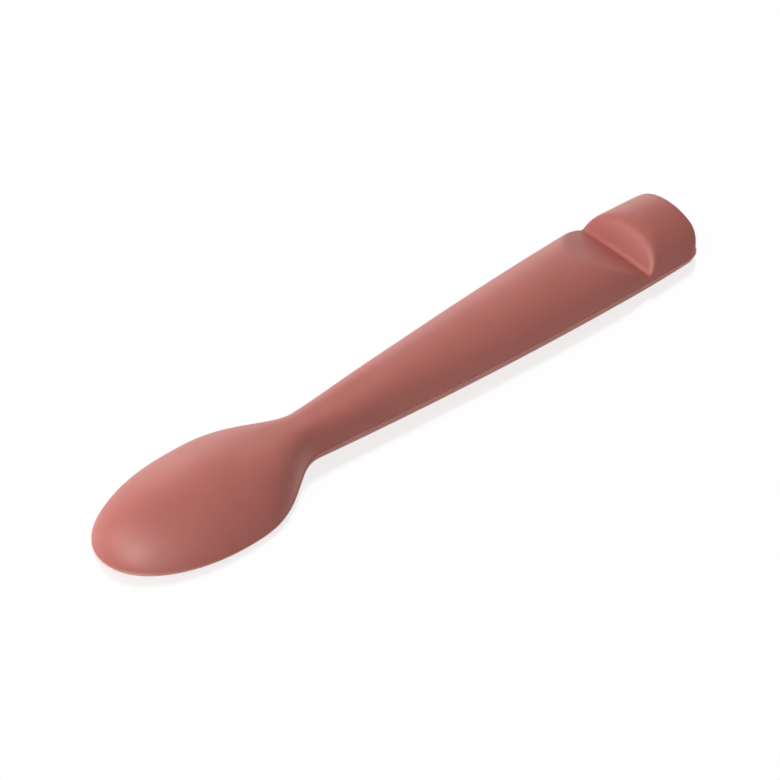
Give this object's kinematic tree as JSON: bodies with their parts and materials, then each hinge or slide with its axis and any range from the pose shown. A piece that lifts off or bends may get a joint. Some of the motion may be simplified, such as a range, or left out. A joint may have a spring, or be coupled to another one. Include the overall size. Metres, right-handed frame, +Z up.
{
  "type": "baby spoon",
  "caption": "Soft silicone baby spoon with an oval bowl, a slim neck and a D-shaped handle with a rest notch near its end, moulded round a rigid stiffening core.",
  "frame": {"origin": "centre of the bounding box at its base, on the surface that the spoon lies on", "axes": "+X from the bowl's tip to the handle's end, +Y across the spoon, +Z up; the spoon lies with its back up, as in the picture"},
  "size_m": [0.145, 0.0286, 0.0095],
  "materials": {
    "silicone": "matte",
    "core_plastic": "matte"
  },
  "bodies": {
    "root": {"silicone_body": "silicone", "stiffening_core": "core_plastic"}
  },
  "joints": []
}
